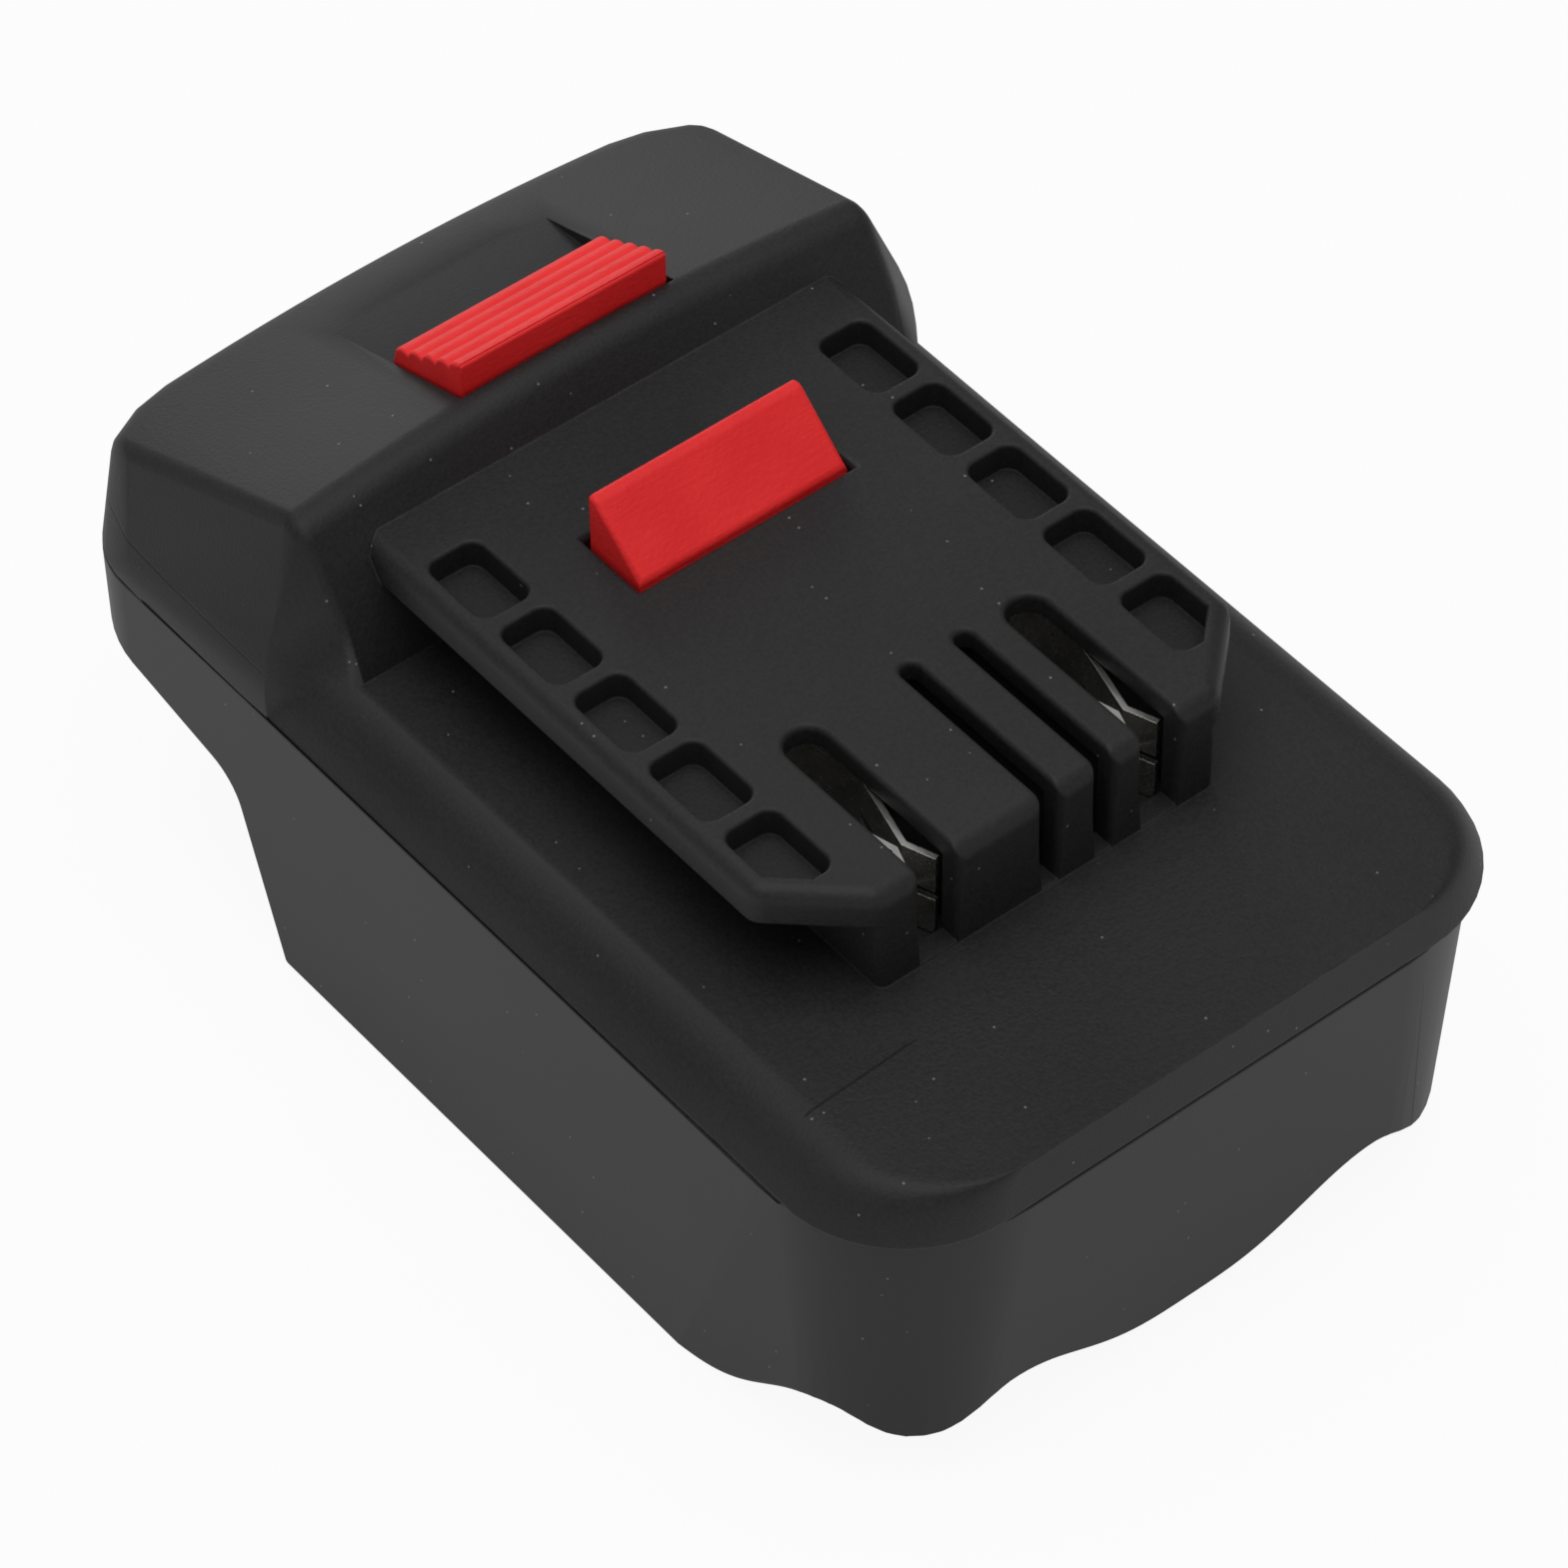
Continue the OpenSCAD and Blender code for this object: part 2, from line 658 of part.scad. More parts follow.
module upper_housing() {
    web_room = web_w - 2 * skin;
    color(shell_black)
        difference() {
            union() {
                difference() {
                    union() {
                        plate_form(0);
                        head_form(0);
                        tongue_form();
                    }
                    plate_form(wall);
                    head_form(wall);
                    bar(web_room, web_front + skin, tongue_rear + ridge_r + past,
                        seam_z - past, under_skin_z);
                }
                recess_tub();
                upper_bosses();
            }
            latch_windows();
            finger_recess();
            terminal_slots();
            flange_pockets();
            upper_bores();
        }
}

// The lower shell's outer form: the front corners sweep in towards the rim
module lower_form(inset) {
    extra = inset > 0 ? past : 0;
    rim_w = half_w - side_lean - inset;
    corner_x = half_w - side_lean - sweep_inset - sweep_r;
    corner_y = y_front + front_lean + sweep_r;
    hull() {
        corner_posts(half_w - inset, y_front + inset, y_rear - inset,
            lower_corner_r - inset, rear_corner_r - inset, seam_z + extra - slice);
        for (side = [-1, 1]) {
            translate([side * (rim_w - slice), y_front + sweep_l, -extra])
                cylinder(r = slice, h = slice);
            translate([side * corner_x, corner_y, -extra])
                cylinder(r = sweep_r - inset, h = slice);
            translate([side * (half_w - side_lean - rear_corner_r), y_rear - rear_corner_r, -extra])
                cylinder(r = rear_corner_r - inset, h = slice);
        }
    }
}

// Space under the tail: the side walls end in a leaning edge with a fillet at the tail
module tail_cut() {
    edge = [sin(side_end_lean), cos(side_end_lean)];
    tail = [cos(tail_fall), sin(tail_fall)];
    rim = [y_rear - side_end, 0];
    last = [y_rear, seam_z - tail_d];
    gap = last - rim;
    beyond = 4 * past;
    reach = (gap.x * tail.y - gap.y * tail.x) / (edge.x * tail.y - edge.y * tail.x);
    knee = rim + edge * reach;
    half = (180 - acos(edge * tail)) / 2;
    tangent = tail_fillet / tan(half);
    centre = knee - edge * tangent + [edge.y, -edge.x] * tail_fillet;
    across(housing_w + 2 * past) {
        polygon([rim - edge * beyond, knee - edge * tangent, centre, knee + tail * tangent,
            last + tail * beyond, [y_rear + beyond, -beyond]]);
        translate(centre)
            circle(tail_fillet);
    }
}

// Height of the wavy front edge: it falls from each notch to the middle and to the foot
function rim_wave(x) = abs(x) < notch_x
    ? front_edge_z + (notch_z - front_edge_z) * pow((1 - cos(180 * x / notch_x)) / 2, fall_power)
    : foot_z + (notch_z - foot_z) * (1 + cos(180 * min(1, (abs(x) - notch_x) / (foot_x - notch_x)))) / 2;

// Height of the side edge behind its notch, and in front of it down to the foot
function side_wave(y) = y > 0
    ? side_notch_z * pow((1 + cos(180 * y / side_run)) / 2, fall_power)
    : foot_z + (side_notch_z - foot_z) * (1 + cos(180 * y / foot_run)) / 2;

// The wavy lower edge at the front, and the notches in the side walls
module rim_cut() {
    notch_mid = y_front + side_notch_y;
    reach = half_w + past;
    wave_steps = 80;
    side_steps = 36;
    side_step = (foot_run + side_run) / side_steps;
    for (side = [-1, 1])
        translate([side * (reach + notch_x) / 2, notch_mid, 0])
            across(reach - notch_x)
                polygon(concat([[side_run, -past], [-foot_run, -past]],
                    [for (i = [0 : side_steps])
                        let (y = i * side_step - foot_run)
                        [y, side_wave(y)]]));
    along(y_front - past, notch_mid)
        polygon(concat([[reach, -past], [-reach, -past]],
            [for (i = [0 : wave_steps])
                let (x = reach * (2 * i / wave_steps - 1))
                [x, rim_wave(x)]]));
}

module rails() {
    rim_in = half_w - side_lean - wall;
    for (side = [-1, 1])
        translate([side > 0 ? rim_in - rail_w : -rim_in - wall / 2, y_front + rail_lead, rail_z])
            cube([rail_w + wall / 2, y_rear - side_end - y_front - rail_lead, rail_t]);
}

// Pocket in the ceiling for the pack's own catch, behind the springs
catch_front = button_front + catch_lead;

module catch_tub() {
    bar(catch_w + 2 * skin, catch_front - skin, catch_front + catch_l + skin,
        ceiling_z, ceiling_z + catch_d + skin);
}

module catch_room() {
    bar(catch_w, catch_front, catch_front + catch_l, ceiling_z - past, ceiling_z + catch_d);
}

module spring_posts() {
    for (x = [-spring_x, spring_x])
        translate([x, spring_y, ceiling_top - slice]) {
            cylinder(d = spring_d + 2 * seat_ledge, h = spring_seat_h + slice);
            cylinder(d = stub_d, h = spring_seat_h + stub_h + slice);
        }
}

module lower_bores() {
    at_housing_screws() {
        translate([0, 0, ceiling_z - past])
            cylinder(d = screw_d + 2 * hole_gap, h = seam_z - ceiling_z + 2 * past);
        translate([0, 0, ceiling_z - past])
            cylinder(d = screw_head_d + 4 * hole_gap, h = seat_d + past);
    }
    for (x = [-small_screw_x, small_screw_x])
        translate([x, block_screw_y, ceiling_z - past])
            cylinder(d = small_screw_d + 2 * hole_gap, h = ceiling_t + 2 * past);
    for (x = [-wide_slot_x, wide_slot_x])
        translate([x, 0, 0])
            bar(blade_t + 2 * hole_gap, blade_tag_front - hole_gap, blade_tag_rear + hole_gap,
                ceiling_z - past, ceiling_top + past);
}

module lower_housing() {
    color(socket_black)
        difference() {
            union() {
                difference() {
                    lower_form(0);
                    difference() {
                        lower_form(wall);
                        bar(housing_w, y_front, y_rear, ceiling_z, ceiling_top);
                    }
                }
                rails();
                catch_tub();
                spring_posts();
                at_housing_screws()
                    translate([0, 0, ceiling_z])
                        cylinder(d = boss_d + 2 * hole_gap, h = seam_z - ceiling_z);
            }
            tail_cut();
            rim_cut();
            catch_room();
            lower_bores();
        }
}

// The button's ribbed top and the wedge share one moulding, joined by a bridge under the cover
module release_latch() {
    front_z = head_top(0, button_front) + button_front_h;
    rear_z = head_top(0, button_rear) + button_rear_h;
    slope = unit([button_rear - button_front, rear_z - front_z]);
    rib_pitch = norm([button_rear - button_front, rear_z - front_z]) / rib_count;
    rib_r = (pow(rib_pitch / 2, 2) + pow(rib_depth, 2)) / (2 * rib_depth);
    inward = [slope.y, -slope.x];
    color(latch_red) {
        across(latch_w)
            polygon([[wedge_front, bridge_under], [wedge_rear, bridge_under],
                [wedge_rear, tongue_z + wedge_h], [wedge_rear - wedge_flat, tongue_z + wedge_h],
                [wedge_front, tongue_z]]);
        across(latch_w)
            intersection() {
                polygon([[button_front, bridge_under], [button_rear, bridge_under],
                    [button_rear, front_z], [button_front, front_z]]);
                union() {
                    polygon([[button_front, bridge_under], [button_rear, bridge_under],
                        [button_rear, rear_z] + inward * rib_depth,
                        [button_front, front_z] + inward * rib_depth]);
                    for (i = [0 : rib_count - 1])
                        translate([button_front, front_z] + slope * rib_pitch * (i + 0.5) + inward * rib_r)
                            circle(rib_r);
                }
            }
        bar(latch_w + 2 * latch_flange_lap, wedge_front - latch_flange_lap, wedge_rear + latch_flange_lap,
            flange_top - latch_flange_t, flange_top);
        bar(latch_w - 2 * window_gap, wedge_front, button_rear, bridge_under, bridge_top);
        for (x = [-spring_x, spring_x])
            translate([x, spring_y, bridge_under - stub_h])
                cylinder(d = stub_d, h = stub_h + slice);
    }
}

module latch_spring(side) {
    color(steel)
        translate([side * spring_x, spring_y, spring_seat])
            difference() {
                cylinder(d = spring_d, h = bridge_under - spring_seat);
                translate([0, 0, -past])
                    cylinder(d = spring_d - 2 * spring_wire, h = bridge_under - spring_seat + 2 * past);
            }
}

// Two sprung leaves that meet at the pinch and flare at the tips, joined at the rear
module terminal_clip(side) {
    flare_x = wide_slot_w / 2 - clip_t / 2 - fit_gap;
    leaf = [[clip_w / 2, clip_rear], [clip_w / 2, knee_y], [(clip_pinch + clip_t) / 2, pinch_y],
        [flare_x, tip_y]];
    other = [for (p = leaf) [-p.x, p.y]];
    slit_z = (clip_z + clip_top) / 2;
    color(metal)
        translate([side * wide_slot_x, 0, 0]) {
            difference() {
                translate([0, 0, clip_z])
                    linear_extrude(clip_top - clip_z)
                        strip(concat(reversed(leaf), other), clip_t);
                bar(clip_w + 2 * clip_t, tip_y - past, knee_y, slit_z - slit_h / 2, slit_z + slit_h / 2);
            }
            bar(clip_t, clip_rear, clip_tag_end, clip_tag_z, clip_tag_z + clip_tag_h);
        }
}

module contact_carrier() {
    w = web_w - 2 * skin - 2 * fit_gap;
    color(inner_black)
        difference() {
            union() {
                bar(w, carrier_front, carrier_rear, carrier_z, carrier_top);
                bar(ear_w, carrier_rear - past, carrier_rear + ear_l, carrier_z, carrier_z + ear_t);
            }
            for (x = [-wide_slot_x, wide_slot_x])
                translate([x, 0, 0]) {
                    bar(channel_w, carrier_front - past, channel_rear, channel_z, carrier_top + past);
                    bar(clip_t + 2 * fit_gap, channel_rear - past, carrier_rear + past,
                        channel_z, clip_tag_z + clip_tag_h + fit_gap);
                }
            for (x = [0, narrow_slot_step])
                translate([x, 0, 0])
                    bar(narrow_slot_w + 4 * fit_gap, carrier_front - past, slot_rear + fit_gap,
                        channel_z, carrier_top + past);
            for (x = [-small_screw_x, small_screw_x])
                translate([x, ear_screw_y, carrier_z - past])
                    cylinder(d = small_screw_d + 2 * hole_gap, h = ear_t + 2 * past);
        }
}

// Pan-head screw with a cross recess, head down and its seat at z = 0
module screw(d, l, head_d, head_h) {
    cross_l = 0.6 * head_d;
    cross_w = 0.14 * head_d;
    cross_d = 0.55 * head_h;
    color(steel)
        difference() {
            union() {
                cylinder(d = d, h = l);
                translate([0, 0, -head_h])
                    cylinder(d = head_d, h = head_h);
            }
            for (turn = [0, 90])
                rotate(turn)
                    translate([-cross_l / 2, -cross_w / 2, -head_h - past])
                        cube([cross_l, cross_w, cross_d + past]);
        }
}

module contact_carrier_screws() {
    for (x = [-small_screw_x, small_screw_x])
        translate([x, ear_screw_y, carrier_z])
            screw(small_screw_d, small_screw_l, small_head_d, small_head_h);
}

module housing_screws() {
    at_housing_screws()
        translate([0, 0, seat_z])
            screw(screw_d, screw_l, screw_head_d, screw_head_h);
}

module terminal_block_screws() {
    for (x = [-small_screw_x, small_screw_x])
        translate([x, block_screw_y, ceiling_top])
            mirror([0, 0, 1])
                screw(small_screw_d, small_screw_l, small_head_d, small_head_h);
}

module terminal_block() {
    color(inner_black)
        difference() {
            bar(block_w, block_front, block_rear, ceiling_z - block_h, ceiling_z);
            for (x = [-wide_slot_x, wide_slot_x])
                translate([x, 0, 0]) {
                    bar(blade_t + 2 * thread_gap, blade_front - thread_gap, block_rear + past,
                        blade_z - thread_gap, blade_z + blade_h + thread_gap);
                    bar(blade_t + 2 * thread_gap, blade_tag_front - thread_gap, blade_tag_rear + thread_gap,
                        blade_z, ceiling_z + past);
                }
            for (x = [-small_screw_x, small_screw_x])
                translate([x, block_screw_y, ceiling_top - small_screw_l - thread_gap])
                    cylinder(d = small_screw_d + 2 * thread_gap, h = small_screw_l);
        }
}

module blade(side) {
    tip = block_rear + blade_l;
    taper = blade_h / 5;
    color(metal)
        translate([side * wide_slot_x, 0, 0])
            across(blade_t)
                polygon([[blade_front, blade_z], [tip - taper, blade_z], [tip, blade_z + taper],
                    [tip, blade_z + blade_h - taper], [tip - taper, blade_z + blade_h],
                    [blade_tag_rear, blade_z + blade_h], [blade_tag_rear, lead_low_z + lead_d],
                    [blade_tag_front, lead_low_z + lead_d], [blade_tag_front, blade_z + blade_h],
                    [blade_front, blade_z + blade_h]]);
}

// A wire from the clip's tag, round behind the carrier, and forward to the blade's tag
module lead(side, shade) {
    color(shade)
        translate([side * wide_slot_x, 0, 0]) {
            translate([0, clip_tag_end, lead_high_z])
                rotate([-90, 0, 0])
                    cylinder(d = lead_d, h = lead_tail);
            translate([0, lead_bend_y, lead_low_z + lead_bend_r])
                rotate([90, 0, 90])
                    rotate([0, 0, -90])
                        rotate_extrude(angle = 180)
                            translate([lead_bend_r, 0])
                                circle(d = lead_d);
            translate([0, blade_tag_rear, lead_low_z])
                rotate([-90, 0, 0])
                    cylinder(d = lead_d, h = lead_bend_y - blade_tag_rear);
        }
}

upper_housing();
lower_housing();
release_latch();
latch_spring(-1);  // latch_spring_left
latch_spring(1);  // latch_spring_right
terminal_clip(1);  // terminal_clip_positive
terminal_clip(-1);  // terminal_clip_negative
contact_carrier();
contact_carrier_screws();
terminal_block();
terminal_block_screws();
blade(1);  // blade_positive
blade(-1);  // blade_negative
lead(1, "#a81c1c");  // lead_positive
lead(-1, "#1d1d1f");  // lead_negative
housing_screws();
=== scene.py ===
# %% [markdown]
# # A battery adapter for a cordless tool
# The imported model gives every piece its place and its joints. This lesson dresses it: moulded edges
# get their rounding, hidden springs get their coils, and each piece gets the finish of the real
# one. The CAD box is kept first.

# %% Load the imported model
import json
import math

import bmesh
import bpy
from mathutils import Matrix, Vector


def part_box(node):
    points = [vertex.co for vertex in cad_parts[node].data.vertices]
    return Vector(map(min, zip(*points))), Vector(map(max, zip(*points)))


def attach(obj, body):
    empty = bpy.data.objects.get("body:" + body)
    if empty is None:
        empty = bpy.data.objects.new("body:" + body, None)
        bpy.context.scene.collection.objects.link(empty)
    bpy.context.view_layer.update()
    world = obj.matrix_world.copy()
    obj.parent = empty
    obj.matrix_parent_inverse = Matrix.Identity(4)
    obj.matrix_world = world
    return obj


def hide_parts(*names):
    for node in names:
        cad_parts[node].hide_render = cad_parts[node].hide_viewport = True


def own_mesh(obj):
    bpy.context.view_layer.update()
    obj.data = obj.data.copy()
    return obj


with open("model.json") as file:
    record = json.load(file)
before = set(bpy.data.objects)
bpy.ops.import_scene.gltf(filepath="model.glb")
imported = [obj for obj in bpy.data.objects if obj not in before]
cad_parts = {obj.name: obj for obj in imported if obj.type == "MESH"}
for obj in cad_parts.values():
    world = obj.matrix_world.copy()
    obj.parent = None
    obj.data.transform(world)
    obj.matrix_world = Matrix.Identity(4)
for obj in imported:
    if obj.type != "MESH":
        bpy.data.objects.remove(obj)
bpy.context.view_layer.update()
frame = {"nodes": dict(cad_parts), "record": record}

MM = 0.001
nodes = frame["nodes"]

# %% [markdown]
# ## Heights and edges to work from
# Radii and patterns belong to real places on the adapter, such as the top of its tongue. Some of
# these places are read from the frame, so they follow the model when it changes. The rest are the
# part's own sizes, named once.

# %% Places on the adapter, in millimetres
mounts = {mount["name"]: Vector(mount["pos_m"]) / MM for mount in frame["record"]["mounts"]}
tongue_top = mounts["tongue_top"].z
flange_under = mounts["tool_tongue"].z
web_front = mounts["tool_tongue"].y
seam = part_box("lower_housing")[1][2] / MM
plate_rise = 5.3
plate_top = seam + plate_rise
flange_side = 27.1
web_side = 19.0
slot_side = 16.0
chamfer_length = 7.5
tongue_rear = 25.85
print("tongue top", round(tongue_top, 2), "plate top", round(plate_top, 2), "joint line", round(seam, 2))

# %% [markdown]
# ## The camera
# The picture was taken from the front left and well above, with a long lens: parallel edges barely
# converge. A camera can be aimed by a target object, but a fixed place and three angles are simpler
# to read and to repeat.

# %% Camera at the photograph's angle
CAMERA_PLACE = (-280.283, -348.736, 505.974)
CAMERA_TURN = (42.7857, 0.3396, -39.1223)

camera_data = bpy.data.cameras.new("studio_camera")
camera_data.lens = 166.31
camera_data.sensor_width = 36
camera_data.clip_end = 20
camera = bpy.data.objects.new("studio_camera", camera_data)
camera.location = Vector(CAMERA_PLACE) * MM
camera.rotation_euler = [math.radians(angle) for angle in CAMERA_TURN]
bpy.context.scene.collection.objects.link(camera)
bpy.context.scene.camera = camera
bpy.context.scene.view_settings.view_transform = "Standard"
print("camera", [round(v, 3) for v in camera.location])

# %% [markdown]
# ## Shader expressions
# A finish is a chain of small sums: grain plus specks, times a mask. Wiring Math nodes by hand
# hides the sum, so one small class wraps a socket. Arithmetic on it adds Math nodes, and its method
# make adds any other node.


# %% A socket that understands arithmetic
class Wire:
    def __init__(self, tree, socket=None):
        self.tree = tree
        self.socket = socket

    def make(self, kind, settings=None, inputs=None, out=0):
        """Any node: its settings first, then the values or links of its sockets."""
        node = self.tree.nodes.new(kind)
        for name, value in (settings or {}).items():
            setattr(node, name, value)
        for name, value in (inputs or {}).items():
            if isinstance(value, Wire):
                self.tree.links.new(value.socket, node.inputs[name])
            else:
                node.inputs[name].default_value = value
        return Wire(self.tree, node.outputs[out]) if node.outputs else Wire(self.tree)

    def also(self, out):
        """Another output of the same node."""
        return Wire(self.tree, self.socket.node.outputs[out])

    def math(self, operation, a, b=0.0):
        return self.make("ShaderNodeMath", {"operation": operation}, {0: a, 1: b})

    def __add__(self, other):
        return self.math("ADD", self, other)

    def __sub__(self, other):
        return self.math("SUBTRACT", self, other)

    def __rsub__(self, other):
        return self.math("SUBTRACT", other, self)

    def __mul__(self, other):
        return self.math("MULTIPLY", self, other)

    __radd__ = __add__
    __rmul__ = __mul__

    def away_from(self, value):
        """The distance from a value, on either side."""
        return self.math("ABSOLUTE", self - value)

    def step(self, low, high):
        """0 below low, 1 above high, and a smooth rise between."""
        return self.make("ShaderNodeMapRange", {"interpolation_type": "SMOOTHSTEP"},
                         {"Value": self, "From Min": low, "From Max": high})

    def blend(self, dark, light):
        """One colour where the value is 0, another where it is 1."""
        return self.make("ShaderNodeMix", {"data_type": "RGBA"}, {0: self, 6: dark, 7: light}, out=2)


def new_finish(name):
    """A material with an empty tree, a start for expressions, and its object coordinates."""
    finish = bpy.data.materials.new(name)
    finish.use_nodes = True
    finish.node_tree.nodes.clear()
    start = Wire(finish.node_tree)
    place = start.make("ShaderNodeTexCoord", out="Object")
    return finish, start, place


def close_finish(start, constants, inputs):
    """The surface shader: plain numbers go on its own sockets, and what varies is linked."""
    surface = start.make("ShaderNodeBsdfPrincipled", {}, {**constants, **inputs})
    start.make("ShaderNodeOutputMaterial", {}, {"Surface": surface})


print("shader helper ready")

# %% [markdown]
# ## The studio
# The object stands on a white floor. To the camera the floor is almost plain white, with a little
# of its real shading left, so that a faint shadow stays under the object. In mirrored light it
# glows less than half as much, because a full white floor would wash out the dark sides. A switch on
# the kind of ray does this in the floor's own material, so nothing has to be cut out afterwards.

# %% Floor and world
FLOOR_REACH = 4
FLOOR_DROP = 0.2 * MM
FLOOR_GREY = (0.86, 0.86, 0.86, 1)
WHITE = (1, 1, 1, 1)
WHITE_SEEN = 0.93
WHITE_MIRRORED = 0.42
ROOM_LIGHT = 0.30

ground = bmesh.new()
bmesh.ops.create_grid(ground, x_segments=1, y_segments=1, size=FLOOR_REACH)
floor_mesh = bpy.data.meshes.new("studio_floor")
ground.to_mesh(floor_mesh)
ground.free()
floor = bpy.data.objects.new("studio_floor", floor_mesh)
floor.location = (0, 0, -FLOOR_DROP)
bpy.context.scene.collection.objects.link(floor)

floor_finish, paint, _ = new_finish("studio_white")
ray = paint.make("ShaderNodeLightPath", out="Is Camera Ray")
matt = paint.make("ShaderNodeBsdfDiffuse", {}, {"Color": FLOOR_GREY})
glow = paint.make("ShaderNodeEmission", {}, {"Color": WHITE, "Strength": 1.0})
mirrored = paint.math("MAXIMUM", ray.also("Is Glossy Ray"), ray.also("Is Transmission Ray"))
direct = ray * WHITE_SEEN + mirrored * (1 - ray) * WHITE_MIRRORED
floor_look = paint.make("ShaderNodeMixShader", {}, {0: direct, 1: matt, 2: glow})
paint.make("ShaderNodeOutputMaterial", {}, {"Surface": floor_look})
floor_mesh.materials.append(floor_finish)

world = bpy.data.worlds.new("studio_world")
bpy.context.scene.world = world
world.use_nodes = True
world.node_tree.nodes.clear()
sky = Wire(world.node_tree)
sky_seen = sky.make("ShaderNodeLightPath", out="Is Camera Ray")
room = sky.make("ShaderNodeBackground", {}, {"Color": WHITE, "Strength": ROOM_LIGHT})
white = sky.make("ShaderNodeBackground", {}, {"Color": WHITE, "Strength": 1.0})
sky_look = sky.make("ShaderNodeMixShader", {}, {0: sky_seen, 1: room, 2: white})
sky.make("ShaderNodeOutputWorld", {}, {"Surface": sky_look})
print("floor and world ready")

# %% [markdown]
# ## The lamps
# One big softbox hangs over the table and gives the top faces their even tone. A small one stands
# low behind the object, so the head and the edges catch some light from there. Both are square area
# lamps at a plain level.

# %% Soft lamps
OBJECT_MIDDLE = Vector((0, 0, 0.03))


def softbox(name, place, size, power):
    """A square area lamp that faces the middle of the object: metres and watts."""
    data = bpy.data.lights.new(name, "AREA")
    data.shape = "SQUARE"
    data.size = size
    data.energy = power
    lamp = bpy.data.objects.new(name, data)
    lamp.location = place
    lamp.rotation_euler = (OBJECT_MIDDLE - Vector(place)).to_track_quat("-Z", "Y").to_euler()
    bpy.context.scene.collection.objects.link(lamp)


softbox("key_softbox", place=(-0.1, -0.1, 1.3), size=1.3, power=10.0)
softbox("rear_softbox", place=(0.5, 1.24, 0.42), size=0.45, power=2.6)

# %% [markdown]
# ## Rounding a moulding's edges
# A moulded shell has no knife edges. The CAD solid is copied, its loose triangles are joined, and
# flat regions are merged into single faces. Then each edge that shows gets its own radius as a
# bevel weight, and one Bevel modifier cuts them all at once, so that wide and narrow roundings meet
# cleanly in the corners.

# %% Copies with joined faces
WIDEST = 3.0 * MM
WELD = 0.03 * MM
FLAT = math.radians(0.3)
LEAST_BEND = math.radians(28)
BEVEL_STEPS = 4


def joined_copy(node):
    """A bmesh of a CAD node with its triangles joined and its flat regions merged."""
    bm = bmesh.new()
    bm.from_mesh(nodes[node].data)
    bmesh.ops.remove_doubles(bm, verts=bm.verts, dist=WELD)
    bmesh.ops.dissolve_limit(bm, angle_limit=FLAT, use_dissolve_boundaries=False,
                             verts=bm.verts, edges=bm.edges)
    return bm


def weigh_edges(bm, radius_at):
    """Gives each outward edge the radius, in mm, that the rule returns for its middle and its faces."""
    layer = bm.edges.layers.float.new("bevel_weight_edge")
    weighed = 0
    for edge in bm.edges:
        if len(edge.link_faces) != 2 or edge.calc_face_angle_signed(0) < LEAST_BEND:
            continue
        middle = (edge.verts[0].co + edge.verts[1].co) / 2 / MM
        radius = radius_at(middle, [f.normal for f in edge.link_faces])
        if radius:
            edge[layer] = min(1.0, radius * MM / WIDEST)
            weighed += 1
    return weighed


def finish_piece(bm, name, replaced, body, sharp=30):
    """Makes the object, bevels its weighed edges, shades it smoothly and replaces its CAD node."""
    mesh = bpy.data.meshes.new(name)
    bm.to_mesh(mesh)
    bm.free()
    piece = bpy.data.objects.new(name, mesh)
    bpy.context.scene.collection.objects.link(piece)
    bevel = piece.modifiers.new("rounded_edges", "BEVEL")
    bevel.limit_method = "WEIGHT"
    bevel.width = WIDEST
    bevel.segments = BEVEL_STEPS
    bevel.profile = 0.5
    bevel.use_clamp_overlap = False
    bevel.loop_slide = False
    bevel.miter_outer = "MITER_SHARP"
    bpy.context.view_layer.update()
    bevelled = piece.evaluated_get(bpy.context.evaluated_depsgraph_get())
    rounded = bpy.data.meshes.new_from_object(bevelled)
    piece.modifiers.clear()
    piece.data = rounded
    rounded.name = name
    rounded.polygons.foreach_set("use_smooth", [True] * len(rounded.polygons))
    rounded.set_sharp_from_angle(angle=math.radians(sharp))
    weighted = piece.modifiers.new("flat_faces_stay_flat", "WEIGHTED_NORMAL")
    weighted.keep_sharp = True
    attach(piece, body)
    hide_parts(replaced)
    print(name, "faces", len(rounded.polygons))
    return piece


def near(a, b, room=0.03):
    return abs(a - b) < room


def on_outline(x, y, side, end, front, rear):
    """True near the outline seen from above: past a side, an end, or a front or rear corner's X and Y."""
    in_front = abs(x) > front[0] and y < -front[1]
    in_rear = abs(x) > rear[0] and y > rear[1]
    return abs(x) > side or abs(y) > end or in_front or in_rear


# %% [markdown]
# ## The upper housing
# The cover carries the tongue, the pockets, the terminal slots and the head. On the real one the
# tongue's fingers are rounded like fingertips, the pocket mouths are only broken, and the plate
# rolls over softly at its sides.

# %% Radii of the upper housing
fingertip_radius = 2.0
finger_side_radius = 0.9
flange_radius = 1.6
flange_corner_radius = 1.2
flange_lower_radius = 0.35
slot_radius = 0.6
pocket_radius = 0.4
seam_radius = 0.3
chamfer_slack = 0.01
upright_limit = 0.1
downward_limit = -0.9
cover_outline = {"side": 36.0, "end": 57.5, "front": (24, 45), "rear": (24, 45)}


def on_chamfer(x, y):
    """True on the slanted front corners of the flanges."""
    across = (abs(x) - web_side) / (flange_side - web_side)
    on_slant = near(across, (y - web_front) / chamfer_length)
    return on_slant and -chamfer_slack < across < 1 + chamfer_slack


